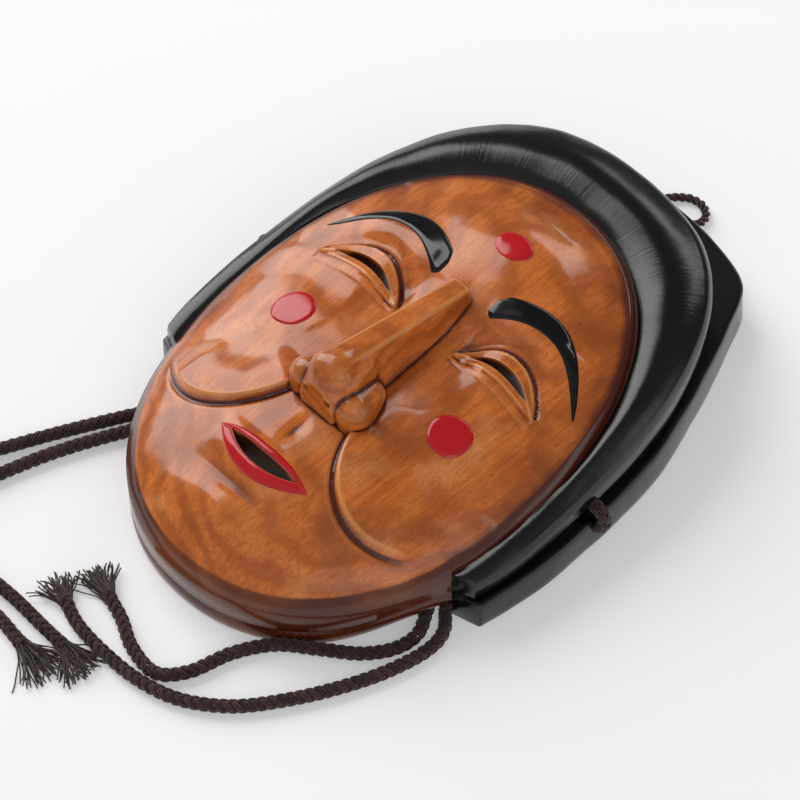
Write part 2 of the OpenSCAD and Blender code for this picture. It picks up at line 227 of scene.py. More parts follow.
def yarns_to_mesh(name, yarns, radius, sides_up=1):
    """One mesh of round yarns, each given as an array of places in metres."""
    curve = bpy.data.curves.new(name, "CURVE")
    curve.dimensions = "3D"
    curve.bevel_depth = radius
    curve.bevel_resolution = sides_up
    curve.use_fill_caps = True
    for yarn in yarns:
        spline = curve.splines.new("POLY")
        spline.points.add(len(yarn) - 1)
        spline.points.foreach_set("co", np.hstack([yarn, np.ones((len(yarn), 1))]).ravel())
        spline.use_smooth = True
    holder = bpy.data.objects.new(name + "_line", curve)
    bpy.context.scene.collection.objects.link(holder)
    bpy.context.view_layer.update()
    mesh = bpy.data.meshes.new_from_object(
        holder.evaluated_get(bpy.context.evaluated_depsgraph_get()))
    bpy.data.objects.remove(holder)
    mesh.name = name
    mesh.polygons.foreach_set("use_smooth", [True] * len(mesh.polygons))
    return mesh


def set_points(mesh, name, values):
    """Stores a number for each point of the mesh, for its material to read."""
    mesh.attributes.new(name, "FLOAT", "POINT").data.foreach_set(
        "value", values.astype(np.float32))


def tone_yarns(mesh, yarns, draws):
    """Gives each yarn its own tone, from 0 dark to 1 light, as a point attribute."""
    each = len(mesh.vertices) // len(yarns)
    tones = np.repeat(draws.random(len(yarns)), each)
    tones = np.concatenate([tones, np.full(len(mesh.vertices) - len(tones), 0.5)])
    set_points(mesh, "yarn_tone", tones)


def new_piece(name, mesh, material, body, replaced=()):
    """A finished piece that rides on a body and stands for its CAD nodes."""
    piece = bpy.data.objects.new(name, mesh)
    bpy.context.scene.collection.objects.link(piece)
    mesh.materials.clear()
    mesh.materials.append(material)
    if body:
        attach(piece, body)
    if replaced:
        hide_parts(*replaced)
    return piece


# Braided polyester-cotton yarn: matt, with a soft fuzz that catches the light at
# its edges, dark in the gaps between the stitches.
braided_yarn, tree, out = new_material("braided_cotton_yarn")
where = add_node(tree, "ShaderNodeTexCoord")
tone = add_node(tree, "ShaderNodeAttribute", {"attribute_name": "yarn_tone"})
lint = add_node(tree, "ShaderNodeTexNoise", Vector=where.outputs["Object"],
                Scale=1 / (0.45 * MM), Detail=3)
mixed = add_node(tree, "ShaderNodeMath", {"operation": "MULTIPLY_ADD"},
                 i0=lint.outputs["Fac"], i1=0.7, i2=tone.outputs["Fac"])
lightness = add_node(tree, "ShaderNodeMapRange", Value=mixed.outputs[0], From_Min=0.15,
                     From_Max=1.5)
colour = add_node(tree, "ShaderNodeMix", {"data_type": "RGBA"}, i0=lightness.outputs[0],
                  i6=linear("#211210"), i7=linear("#4c2f27"))
rise = add_node(tree, "ShaderNodeBump", Height=lint.outputs["Fac"], Strength=0.5,
                Distance=0.12 * MM)
yarn_shader = add_node(tree, "ShaderNodeBsdfPrincipled", Base_Color=colour.outputs[2],
                       Roughness=0.85, Normal=rise.outputs[0], Specular_IOR_Level=0.25,
                       Sheen_Weight=0.35, Sheen_Roughness=0.5)
tree.links.new(yarn_shader.outputs[0], out.inputs[0])

braid_turn = 12 * MM        # length in which a yarn goes once round the cord
braid_middle = 1.62 * MM    # distance of the yarns' middles from the cord's
braid_swing = 0.3 * MM      # how far a yarn rises and dips as it passes the others
yarn_radius = 0.46 * MM
pair_gap = math.radians(15)  # half the angle between the two yarns of a pair
crossing_gap = math.radians(45)  # turn of the cord from one crossing to the next
loose_end = 5 * MM          # the braid opens over this length at its cut end


def braided(name, points, draws, loosen=0.0):
    """A round braid of eight pairs of yarn, over two and under two, as (mesh, line)."""
    line = smooth_line(points, 0.55) * MM
    _, side, upward = carried_frames(line)
    run = np.arange(len(line)) * np.linalg.norm(line[1] - line[0])
    angle = 2 * math.pi * run / braid_turn
    crossing = angle / crossing_gap
    yarns = []
    for way in (1, -1):
        for carrier in range(4):
            phase = crossing + 2 * carrier if way > 0 else 2 * carrier - crossing
            lift = way * np.cos(math.pi / 2 * (phase - 0.5))
            radius = braid_middle + braid_swing * lift
            for pair in (-1, 1):
                turned = way * angle + carrier * math.pi / 2 + pair * pair_gap
                open_out = 1 + loosen * np.clip((run - run[-1] + loose_end) / loose_end, 0, 1)
                yarns.append(line + (radius * open_out * np.cos(turned))[:, None] * side
                             + (radius * open_out * np.sin(turned))[:, None] * upward)
    mesh = yarns_to_mesh(name, yarns, yarn_radius)
    tone_yarns(mesh, yarns, draws)
    return mesh, line


draws = np.random.default_rng(7)
tie_pieces = {}
for node, points in tie_routes.items():
    mesh, line = braided(node + "_cord", points, draws, loosen=0.12)
    tie_pieces[node] = (new_piece(node + "_cord", mesh, braided_yarn, "mask",
                                  (node,)), line)

# Each bight is the same braid, bent round through the wall of the hair.
stitch_points = [
    (wall_x, 0, z_upper), (74, 0, z_upper), (77.6, 0, z_upper - 0.4), (stitch_x, 0, z_upper - 3),
    (stitch_x, 0, z_lower + 3), (77.6, 0, z_lower + 0.4), (74, 0, z_lower), (wall_x, 0, z_lower)]
for name, way in (("right_tie_stitch", 1), ("left_tie_stitch", -1)):
    mesh, line = braided(name + "_cord", [(way * x, y, z) for x, y, z in stitch_points], draws)
    new_piece(name + "_cord", mesh, braided_yarn, "mask", (name,))

# ---- Frayed ends ----
# The cut ends are not sealed. Their yarns have come out of the braid and lie in
# a loose brush on the floor, bent and crimped from the braiding.
def frayed(name, line, length, half_spread, lean, yarns_n, draws, droop=0.0):
    """Yarns that spread from the end of a line; lengths in millimetres."""
    away = line[-1] - line[-6]
    away /= np.linalg.norm(away)
    side = np.cross((0, 0, 1), away)
    yarns = []
    steps, braid_r, rooted = 14, 1.9 * MM, 2.5
    for _ in range(yarns_n):
        turn = draws.random() * 2 * math.pi
        out = braid_r * math.sqrt(draws.random())
        root = line[-1] - away * rooted * MM + side * out * math.cos(turn)
        root[2] += out * math.sin(turn)
        fan = lean + out / braid_r * math.cos(turn) * half_spread / length
        fan += draws.normal(0, 0.16)
        reach = length * (0.72 + 0.36 * draws.random()) + rooted
        crimp_a, crimp_b = draws.random(2) * 2 * math.pi
        crimp = (0.18 + 0.3 * draws.random()) * MM
        bend = draws.normal(0, 0.35)
        places = []
        here = root.copy()
        for k in range(steps):
            f = k / (steps - 1)
            heading = fan * min(1, 0.25 + 1.5 * f) + bend * f * f
            going = away * math.cos(heading) + side * math.sin(heading)
            if k:
                here = here + going * reach * MM / (steps - 1)
            wave = crimp * f ** 0.5
            place = here + side * wave * math.sin(9 * f + crimp_a)
            place[2] += wave * 0.6 * math.cos(8 * f + crimp_b) - droop * f * MM
            place[2] = max(place[2], 0.35 * MM)
            places.append(place)
        yarns.append(np.array(places))
    mesh = yarns_to_mesh(name, yarns, 0.24 * MM, 0)
    tone_yarns(mesh, yarns, draws)
    return mesh


tuft_sizes = {  # node: (cord, length, half spread, lean, number of yarns, droop)
    "right_upper_tuft": ("right_tie_upper", 12, 5.5, 0.05, 70, 0.8),
    "right_lower_tuft": ("right_tie_lower", 10, 7, 0.1, 64, 0.6),
    "left_upper_tuft": ("left_tie_upper", 13, 8, -0.05, 84, 1.2),
    "left_lower_tuft": ("left_tie_lower", 15, 7, 0.1, 76, 1.2),
}
for node, (cord, length, spread, lean, yarns_n, droop) in tuft_sizes.items():
    mesh = frayed(node + "_yarns", tie_pieces[cord][1], length, spread, lean, yarns_n, draws,
                  droop)
    new_piece(node + "_yarns", mesh, braided_yarn, "mask", (node,))

# ---- Hanging loop ----
# A thin two-ply cord. Its two legs pass through the hair and are knotted inside,
# and the bight outside swings over a nail or lies on the floor.
ply_middle, ply_radius, ply_turn = 0.72 * MM, 0.86 * MM, 5 * MM
leg_x, loop_z, hinge_y, knot_y = 6.5, 5, 112.4, 77.5
loop_points = [(-leg_x, hinge_y - 2.4, loop_z), (-leg_x, hinge_y, loop_z),
               (-leg_x, hinge_y + 1.9, 4.6), (-7.4, 118, 2.8), (-5.6, 122.5, 1.7),
               (-1.5, 125.8, 1.6), (3.5, 126.2, 1.6), (7.4, 123.4, 1.6), (8.2, 118.6, 2.4),
               (leg_x, hinge_y + 1.9, 4.6), (leg_x, hinge_y, loop_z),
               (leg_x, hinge_y - 2.4, loop_z)]


def twisted(name, points, draws):
    """Two plies laid round each other along the points, as (mesh, line)."""
    line = smooth_line(points, 0.5) * MM
    _, side, upward = carried_frames(line)
    angle = 2 * math.pi * np.arange(len(line)) * np.linalg.norm(line[1] - line[0]) / ply_turn
    plies = [line + ply_middle * (np.cos(angle + start)[:, None] * side
                                  + np.sin(angle + start)[:, None] * upward)
             for start in (0, math.pi)]
    mesh = yarns_to_mesh(name, plies, ply_radius, 3)
    tone_yarns(mesh, plies, draws)
    return mesh, line


mesh, line = twisted("loop_bight", loop_points, draws)
loop_bight = new_piece("loop_bight", mesh, braided_yarn, None, ("hanging_loop",))
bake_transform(loop_bight)

leg_points = [[(way * leg_x, hinge_y - 2.4 - k * (hinge_y - 4.9 - knot_y) / 4, loop_z)
               for k in range(5)] for way in (-1, 1)]
for name, points in zip(("left_loop_leg", "right_loop_leg"), leg_points):
    mesh, line = twisted(name, points, draws)
    new_piece(name, mesh, braided_yarn, "mask", ("loop_legs",))

knot_points = [(-leg_x, knot_y + 3, loop_z), (-leg_x + 1, knot_y + 0.5, loop_z + 1),
               (-2.5, knot_y - 1.2, loop_z + 1.2), (1.5, knot_y - 0.6, loop_z - 0.8),
               (2.5, knot_y + 1.4, loop_z - 0.6), (0, knot_y + 1.6, loop_z + 1.6),
               (-2.2, knot_y + 0.6, loop_z - 0.4), (-0.6, knot_y - 1.8, loop_z - 0.8),
               (2.6, knot_y - 1.4, loop_z + 1), (leg_x - 1, knot_y + 0.5, loop_z + 0.6),
               (leg_x, knot_y + 3, loop_z)]
mesh, line = twisted("loop_inner_knot", knot_points, draws)
new_piece("loop_inner_knot", mesh, braided_yarn, "mask", ("loop_knot",))

# ---- Carved face ----
# The face and its rim are one piece of light hardwood: a shell about 9 mm thick,
# hollowed with a gouge behind and cut with a knife in front. The nose stands up
# from the same wood; eyes, mouth and nostrils are open.
face_half_w, face_top, face_chin, mid_y = 68, 91.5, 88.5, -22
face_power, edge_in, chamfer = 2.15, 0.965, 3
crown_z, forehead_rise, shell_t, jaw_gap = 42, 7, 8, 6.5
eye_x, eye_y, mouth_y = 31, 0, -72
lip_half_w, lip_top, lip_low, lip_power = 75.5, 119, 66, 2.6
jaw_y, rim_in = mid_y - 31, 15


def egg(angle, half, top, low, power):
    """The outline of an egg at an angle, as x and y arrays in millimetres."""
    c, s = np.cos(angle), np.sin(angle)
    high = np.where(s > 0, top, low)
    return (half * np.sign(c) * np.abs(c) ** (2 / power),
            mid_y + high * np.sign(s) * np.abs(s) ** (2 / power))


def face_at(angle):
    """The edge of the face, where the hair begins."""
    return egg(angle, face_half_w, face_top, face_chin, face_power)


def lip_at(angle):
    """The outer lip of the front roll of hair."""
    return egg(angle, lip_half_w, lip_top, lip_low, lip_power)


def smooth(v):
    """Eases from 0 to 1 as v goes from 0 to 1, and stays level outside."""
    v = np.clip(v, 0, 1)
    return v * v * (3 - 2 * v)


def edge_z(y):
    """The height of the face's edge."""
    return 21 + np.where(y > jaw_y, 0.17, 0.07) * (y - jaw_y)


def lip_z(y):
    """The height of the roll's outer lip."""
    return 20.5 + 0.135 * (y - jaw_y - 3)


def split_z(y):
    """The height where the front roll stands on the lower hair."""
    return 11.5 + 0.035 * (y - jaw_y)


def roll_width(angle):
    """The width of the front roll."""
    (ax, ay), (bx, by) = face_at(angle), lip_at(angle)
    return np.hypot(bx - ax, by - ay)


def hollow_spread(angle):
    """How far the hollow spreads under the hair, 0 at the jaw to 1 at the top."""
    return smooth((roll_width(angle) - rim_in) / 8)


def under_roll_z(angle):
    """The height of the roll's underside at its inner edge."""
    y = face_at(angle)[1]
    return split_z(y) + (edge_z(y) - shell_t - 1 - split_z(y)) * hollow_spread(angle)


def rim_z(angle):
    """The height of the shell's lower rim, which is lifted at the jaw for the cords."""
    y = face_at(angle)[1]
    low = jaw_gap * smooth((y + 98) / 34)
    high = jaw_gap + (under_roll_z(angle) - jaw_gap) * hollow_spread(angle)
    return np.where(y < jaw_y - 10, low, high)


def bump(x, y, cx, cy, wx, wy):
    """A round rise of 1 at a place, wx wide and wy long."""
    return np.exp(-(((x - cx) / wx) ** 2 + ((y - cy) / wy) ** 2))


def face_share(x, y):
    """How far out on the face a point is, from 0 in the middle to 1 at the edge."""
    half = np.where(y > mid_y, face_top, face_chin)
    return ((np.abs(x) / face_half_w) ** face_power
            + (np.abs(y - mid_y) / half) ** face_power) ** (1 / face_power)


def dome_z(x, y):
    """The smooth dome of the face with its forehead, brow ridges and cheeks."""
    share = np.maximum(face_share(x, y), 1e-3)
    low = edge_z(mid_y + (y - mid_y) / share) + chamfer
    z = low + (crown_z - low) * np.clip(1 - (share / edge_in) ** 2.5, 0, 1) ** 0.8
    a = np.abs(x)
    relief = (forehead_rise * bump(x, y, 0, 36, 42, 28) + 2.2 * bump(a, y, 34, 18, 22, 7)
              - 3.4 * bump(a, y, 16, 2, 7, 9) + 1.8 * bump(a, y, eye_x, eye_y - 2, 14, 6)
              + 2 * bump(a, y, 34, -26, 18, 16) + 2.4 * bump(x, y, 0, mouth_y, 22, 12)
              + 2 * bump(x, y, 0, -94, 16, 9))
    return z + relief * smooth((1 - share) / 0.3)


# Knife facets: the dome is a little flatter between neighbouring cuts than a true
# curve, in patches about 13 mm across that blend into each other.
facet_gap, facet_blend, facet_limit, facet_share = 13, 24, 0.5, 0.45
facet_draws = np.random.default_rng(3)
cut_x, cut_y = np.meshgrid(np.arange(-72, 73, facet_gap), np.arange(-116, 80, facet_gap * 1.15))
cut_x = (cut_x + facet_draws.normal(0, 3, cut_x.shape)).ravel()
cut_y = (cut_y + facet_draws.normal(0, 3.5, cut_y.shape)).ravel()
cut_z = dome_z(cut_x, cut_y)
reach = 1.5
cut_slope_x = (dome_z(cut_x + reach, cut_y) - dome_z(cut_x - reach, cut_y)) / (2 * reach)
cut_slope_y = (dome_z(cut_x, cut_y + reach) - dome_z(cut_x, cut_y - reach)) / (2 * reach)


def knife_facets(x, y, z):
    """How far the cut facets lie from the smooth dome, in millimetres."""
    flat = np.zeros_like(z)
    total = np.zeros_like(z)
    for sx, sy, sz, gx, gy in zip(cut_x, cut_y, cut_z, cut_slope_x, cut_slope_y):
        weight = np.exp(-((x - sx) ** 2 + (y - sy) ** 2) / facet_blend)
        flat += weight * (sz + gx * (x - sx) + gy * (y - sy))
        total += weight
    return facet_limit * np.tanh((flat / np.maximum(total, 1e-30) - z) / facet_limit)


def arc_y(x, half, arch):
    """The height of a shallow arch over its ends, falling on outside them."""
    return arch * (1 - (x / half) ** 2)


def crescent_half(x, half, width):
    """Half the height of a crescent that is pointed at both ends."""
    return np.maximum(0.15, width / 2 * (1 - np.minimum(1, np.abs(x / half)) ** 2.4))


def surface_z(x, y):
    """The carved front of the face at x and y, in millimetres."""
    z = dome_z(x, y)
    a = np.abs(x)
    # The eye: a fold above a thick upper lid, and a lower lid on a ledge.
    ex = a - eye_x
    over = y - eye_y - arc_y(ex, 13, 3)
    span = np.clip(1 - (ex / 18.5) ** 2, 0, 1)
    lid_top = 6.6 * span ** 0.75
    lid_low = -5.2 * span ** 0.8
    ledge_low = -8.6 * np.clip(1 - ((ex - 1) / 21) ** 2, 0, 1) ** 0.8
    present = smooth(span / 0.12)
    upper_lid = smooth((lid_top - over) / 0.9) * smooth((over + 1.2) / 1.6)
    lower_lid = smooth((over - lid_low) / 0.8) * smooth((1.0 - over) / 1.6)
    ledge = smooth((over - ledge_low) / 0.9) * smooth((lid_low + 0.4 - over) / 0.8)
    crease = np.exp(-((over - lid_top - 0.7) / 0.9) ** 2)
    hollow = bump(ex, over, 0, lid_top + 3.2, 18, 3.2)
    eye = (1.5 * upper_lid * (0.8 + 0.35 * smooth(over / 6)) + 0.9 * lower_lid
           + 0.35 * ledge - 0.9 * crease - 1.1 * hollow) * present
    # The cheek stands over the mouth with a crisp rounded step that curves down
    # from beside the nose and dies out at the jaw.
    cheek = np.hypot((a - 38) / 27, (y + 34) / 36)
    past = (cheek - 1) * 31
    turn = np.arctan2((y + 34) / 36, (a - 38) / 27)
    run = smooth((turn + math.radians(172)) / 0.35) * smooth((math.radians(-42) - turn) / 0.5)
    step = 2.7 * smooth(-past / 1.2) * smooth((past + 22) / 16)
    gutter = -0.7 * np.exp(-((past - 0.5) / 0.9) ** 2)
    fold = (step + gutter) * run
    # The lips are low and full, and meet the skin in a fine groove.
    along = np.clip(1 - (x / 20.5) ** 2, 0, 1)
    from_mouth = y - mouth_y - arc_y(x, 20, -2.6)
    lips = 1.3 * along ** 0.6 * np.exp(-(np.abs(from_mouth) / 5.6) ** 4)
    under_lip = -1.3 * bump(x, y, 0, mouth_y - 12.5, 15, 3.6)
    philtrum = -0.9 * bump(x, y, 0, mouth_y + 13, 2.2, 6)
    chin_roll = 1.6 * bump(x, y, 0, -95, 19, 9)
    features = eye + fold + lips + under_lip + philtrum + chin_roll
    busy = np.clip(present * smooth(1.4 - np.abs(over) / 9)
                   + np.exp(-(past / 5) ** 2) * run + bump(x, y, 0, mouth_y, 24, 11), 0, 1)
    return z + features + facet_share * (1 - busy) * knife_facets(x, y, z)


def grid_bmesh(x_parts, y_parts):
    """A flat grid from -1 to 1 both ways."""
    bm = bmesh.new()
    bmesh.ops.create_grid(bm, x_segments=x_parts, y_segments=y_parts, size=1)
    return bm


def round_grid(square):
    """Moves a square grid's points onto a disc, closer together in the middle."""
    p = square * (0.78 + 0.22 * square ** 2)
    return (p[:, 0] * np.sqrt(1 - p[:, 1] ** 2 / 2), p[:, 1] * np.sqrt(1 - p[:, 0] ** 2 / 2))


def coordinates(bm):
    """Where the grid's points are, as an array."""
    return np.array([v.co for v in bm.verts])


def move_to(verts, x, y, z):
    """Moves the vertices to places given in millimetres."""
    for vert, px, py, pz in zip(verts, x.tolist(), y.tolist(), z.tolist()):
        vert.co = (px * MM, py * MM, pz * MM)


# The wall under the rim, from the top edge down: a fine groove is cut round the
# jaw below the middle, and the band under it stands back a little.
wall_rows = [  # share of the wall's height, how far it is cut in, in millimetres
    (0, 0), (0.3, 0.1), (0.56, 0.05), (0.6, 0.8), (0.65, 0.85), (0.7, 0.25), (0.86, 0.2),
    (0.97, 0.55), (1, 1.2)]
front = grid_bmesh(190, 250)
square = coordinates(front)
u, v = round_grid(square)
radius, angle = np.hypot(u, v), np.arctan2(v, u)
fx, fy = face_at(angle)
share = edge_in * radius
x, y = fx * share, mid_y + (fy - mid_y) * share
move_to(front.verts, x, y, surface_z(x, y))
edge_loop = [e for e in front.edges if e.is_boundary]
for part, inset in wall_rows:
    made = bmesh.ops.extrude_edge_only(front, edges=edge_loop)["geom"]
    edge_loop = [g for g in made if isinstance(g, bmesh.types.BMEdge) and g.is_boundary]
    ring = [g for g in made if isinstance(g, bmesh.types.BMVert)]
    at = np.array([g.co for g in ring]) / MM
    half = np.where(at[:, 1] > mid_y, face_top, face_chin)
    c = np.sign(at[:, 0]) * np.abs(at[:, 0] / face_half_w) ** (face_power / 2)
    s = np.sign(at[:, 1] - mid_y) * np.abs((at[:, 1] - mid_y) / half) ** (face_power / 2)
    angle = np.arctan2(s, c)
    ex, ey = face_at(angle)
    shown = smooth((jaw_y + 4 - ey) / 6)
    scale = 1 - inset * shown / np.hypot(ex, ey - mid_y)
    top, low = edge_z(ey), rim_z(angle)
    move_to(ring, ex * scale, mid_y + (ey - mid_y) * scale, top + (low - top) * part)

# Behind, the hollow is left from the gouge: shallow scoops about 9 mm wide.
scoop_x, scoop_y = np.meshgrid(np.arange(-64, 65, 8.5), np.arange(-110, 76, 11))
scoop_x = (scoop_x + facet_draws.normal(0, 1.6, scoop_x.shape)).ravel()
scoop_y = (scoop_y + facet_draws.normal(0, 2.4, scoop_y.shape)).ravel()
inner = grid_bmesh(95, 125)
u, v = round_grid(coordinates(inner))
radius, angle = np.clip(np.hypot(u, v), 0, 1), np.arctan2(v, u)
hx, hy = egg(angle, face_half_w - shell_t, face_top - shell_t, face_chin - shell_t, face_power)
x, y = hx * radius, mid_y + (hy - mid_y) * radius
oy = face_at(angle)[1]
low_z = edge_z(oy) + chamfer
dome_share = radius * 0.88
high_z = (low_z + (crown_z - low_z) * (1 - (dome_share / edge_in) ** 2.5) ** 0.8) - shell_t - 1
wall = rim_z(angle)
z = (wall + (high_z - wall) * np.clip(1 - radius ** 6, 0, 1) ** 0.6
     + forehead_rise * bump(x, y, 0, 36, 42, 28) * smooth((1 - radius) / 0.3))
nearest = np.full(len(x), 1e9)
for sx, sy in zip(scoop_x, scoop_y):
    nearest = np.minimum(nearest, ((x - sx) / 5) ** 2 + ((y - sy) / 7) ** 2)
z += 0.7 * (1 - np.minimum(nearest, 1.4)) * smooth((1 - radius) / 0.12)
move_to(inner.verts, x, y, z)
bmesh.ops.reverse_faces(inner, faces=inner.faces)
front.from_mesh(finished_mesh("hollow", inner))
bmesh.ops.bridge_loops(front, edges=[e for e in front.edges if e.is_boundary])
bmesh.ops.recalc_face_normals(front, faces=front.faces)
face_blank = shape_object("face_blank", front)


def worked(base, tools, operation, remove=True):
    """The base's mesh after joining or cutting it with each tool in turn."""
    for tool in tools:
        modifier = base.modifiers.new(tool.name, "BOOLEAN")
        modifier.operation = operation
        modifier.solver = "MANIFOLD"
        modifier.object = tool
    bpy.context.view_layer.update()
    mesh = bpy.data.meshes.new_from_object(
        base.evaluated_get(bpy.context.evaluated_depsgraph_get()))
    base.modifiers.clear()
    base.data = mesh
    if remove:
        for tool in tools:
            bpy.data.objects.remove(tool)
    return base


# The nose: a straight wedge that grows out of the brow, with a round tip and
# wings, cut flat underneath. Each part is the plane-sided block round a few balls.
def block(name, balls):
    """The tightest plane-sided shape round some balls, each (centre, radius)."""
    bm = bmesh.new()
    for centre, radius in balls:
        bmesh.ops.create_uvsphere(bm, u_segments=20, v_segments=12, radius=radius * MM,
                                  matrix=Matrix.Translation(Vector(centre) * MM))
    bmesh.ops.delete(bm, geom=bm.edges, context="EDGES_FACES")
    hull = bmesh.ops.convex_hull(bm, input=bm.verts)
    spare = {g for g in hull["geom_interior"] + hull["geom_unused"]
             if isinstance(g, bmesh.types.BMVert)}
    bmesh.ops.delete(bm, geom=list(spare), context="VERTS")
    bmesh.ops.recalc_face_normals(bm, faces=bm.faces)
    return shape_object(name, bm)


wedge = [((way * x, y, z), 0.9) for way in (-1, 1)
         for x, y, z in ((2.8, 14, 50.2), (6.5, 12.5, 37), (3.9, -38, 58.9), (9.6, -41, 38))]
nose = block("nose", wedge)
parts = [block("tip", [((0, -40.5, 51.6), 9.4), ((0, -33.5, 50.5), 8.2), ((0, -45, 44), 9),
                       ((2.4, -42, 54.6), 6), ((-2.4, -42, 54.6), 6)]),
         block("right_wing", [((10.4, -43.5, 46), 6), ((8.6, -34, 44), 4.8),
                              ((11, -43, 39), 6)]),
         block("left_wing", [((-10.4, -43.5, 46), 6), ((-8.6, -34, 44), 4.8),
                             ((-11, -43, 39), 6)])]
nose = worked(nose, parts, "UNION")
flat = bmesh.new()
bmesh.ops.create_cube(flat, size=1)
bmesh.ops.scale(flat, vec=Vector((60, 20, 60)) * MM, verts=flat.verts)
bmesh.ops.translate(flat, vec=Vector((0, -59.8, 50)) * MM, verts=flat.verts)
nose = worked(nose, [shape_object("under_nose", flat)], "DIFFERENCE")
remesh = nose.modifiers.new("even", "REMESH")
remesh.mode = "VOXEL"
remesh.voxel_size = 0.5 * MM
soften = nose.modifiers.new("soften", "SMOOTH")
soften.factor = 0.5
soften.iterations = 7
nose = worked(nose, [], "UNION")  # with no tools, it only applies the two modifiers
face = worked(face_blank, [nose], "UNION")


def prism(name, half, arch, width, cx, cy):
    """A crescent that is cut straight down through the shell, in even steps."""
    above_face, cut_steps, cut_step = 75.0, 20, 3
    bm = grid_bmesh(28, 1)
    at = coordinates(bm)
    px = at[:, 0] * half
    py = arc_y(px, half, arch) + np.sign(at[:, 1]) * crescent_half(px, half, width)
    move_to(bm.verts, px + cx, py + cy, np.full(len(px), above_face))
    low = bm.faces[:]
    for step in range(cut_steps):
        made = bmesh.ops.extrude_face_region(bm, geom=low)["geom"]
        if step:
            bmesh.ops.delete(bm, geom=low, context="FACES")
        low = [g for g in made if isinstance(g, bmesh.types.BMFace)]
        bmesh.ops.translate(bm, vec=(0, 0, -cut_step * MM),
                            verts=[g for g in made if isinstance(g, bmesh.types.BMVert)])
    bmesh.ops.recalc_face_normals(bm, faces=bm.faces)
    return shape_object(name, bm)


def rod(name, start, end, diameter):
    """A round cutter between two points given in millimetres."""
    bm = bmesh.new()
    a, b = Vector(start) * MM, Vector(end) * MM
    turned = (b - a).to_track_quat("Z", "Y").to_matrix().to_4x4()
    bmesh.ops.create_cone(bm, cap_ends=True, segments=24, radius1=diameter / 2 * MM,
                          radius2=diameter / 2 * MM, depth=(b - a).length,
                          matrix=Matrix.Translation((a + b) / 2) @ turned)
    return shape_object(name, bm)


cutters = [prism("right_eye", 13, 3, 3.6, eye_x, eye_y),
           prism("left_eye", 13, 3, 3.6, -eye_x, eye_y),
           prism("mouth", 15, -2, 5, 0, mouth_y)]
cutters += [rod("nostril", (way * 4.6, -42, 50), (way * 4.6, -54, 49), 3.2) for way in (1, -1)]
face = worked(face, cutters, "DIFFERENCE")

# ---- Painted features ----
# Brows, lips and spots are brushed on in thick lacquer over the finished wood:
# black brows, red lips and three red spots. Each film stands proud with a round
# edge, as the lacquer draws back before it hardens.
film_thick, film_edge, film_sunk, film_depth = 0.62, 1.3, 0.12, 0.9


def waver(x, y, z, size, seed):
    """A slow unevenness from -1 to 1, in waves of a size in millimetres, as an array."""
    return np.array([noise.noise((a / size, b / size, c / size + seed))
                     for a, b, c in zip(x.ravel(), y.ravel(), z.ravel())]).reshape(x.shape)


def brow_line(s):
    """The middle of the brow and half its height, from the nose 0 to the temple 1."""
    middle = 17 + 11 * np.sin(np.radians(160 * s)) - 13 * s * s
    half = 5.2 * (1 - s) ** 0.52 * np.minimum(1, (s + 0.004) / 0.06) ** 0.5
    return 11 + 46 * s, middle, np.maximum(0.12, half)


def film_mesh(name, across, along, place):
    """A closed film: a grid laid on the face by place(u, v), which gives x, y and
    how far each point is from the film's edge, in millimetres."""
    bm = grid_bmesh(across, along)
    at = coordinates(bm)
    x, y, inward = place(at[:, 0], at[:, 1])
    raised = film_thick * np.clip(inward / film_edge, 0, 1) ** 0.45
    uneven = 0.07 * waver(x, y, 0 * x, 1 / 0.22, 4)
    top = surface_z(x, y) - film_sunk + raised + uneven * smooth(inward / 1.5)
    move_to(bm.verts, x, y, top)
    made = bmesh.ops.extrude_face_region(bm, geom=bm.faces)["geom"]
    under = [g for g in made if isinstance(g, bmesh.types.BMVert)]
    bmesh.ops.translate(bm, vec=(0, 0, -film_depth * MM), verts=under)
    bmesh.ops.recalc_face_normals(bm, faces=bm.faces)
    for f in bm.faces:
        f.smooth = True
    return finished_mesh(name, bm)


def brow_place(way):
    """The brow on one side, from its blunt end by the nose to its point."""
    def place(u, v):
        s = ((u + 1) / 2) ** 1.3
        x, middle, half = brow_line(s)
        end = np.minimum(s * 46, (1 - s) * 46 * 0.5)
        return way * x, middle + half * v, np.minimum(half * (1 - np.abs(v)) + 0.02, end)
    return place


def spot_place(cx, cy, width, high):
    """A spot, round but for the unsteadiness of the brush."""
    def place(u, v):
        px, py = u * np.sqrt(1 - v * v / 2), v * np.sqrt(1 - u * u / 2)
        turned = np.arctan2(py, px)
        wobble = 1 + 0.012 * np.sin(3 * turned + cx) + 0.008 * np.sin(5 * turned + cy)
        return (cx + px * wobble * width / 2, cy + py * wobble * high / 2,
                (1 - np.hypot(px, py)) * high / 2)
    return place


def lip_place(upper):
    """One lip, between the slit of the mouth and the outline of both lips."""
    def place(u, v):
        x = 20 * np.sin(u * math.pi / 2)
        outer_mid, outer_half = arc_y(x, 20, -2.6), crescent_half(x, 20, 11.4)
        slit_mid, slit_half = arc_y(x, 15.2, -2), crescent_half(x, 15.2, 5)
        inside, f = np.abs(x) < 15.2, (v + 1) / 2
        if upper:
            low = np.where(inside, slit_mid + slit_half, 0.04)
            high = np.maximum(outer_mid + outer_half, low + 0.06)
        else:
            high = np.where(inside, slit_mid - slit_half, -0.04)
            low = np.minimum(outer_mid - outer_half, high - 0.06)
        edge = np.minimum((high - low) * np.minimum(f, 1 - f), (20 - np.abs(x)) * 0.8)
        return x, mouth_y + low + (high - low) * f, edge + 0.02
    return place


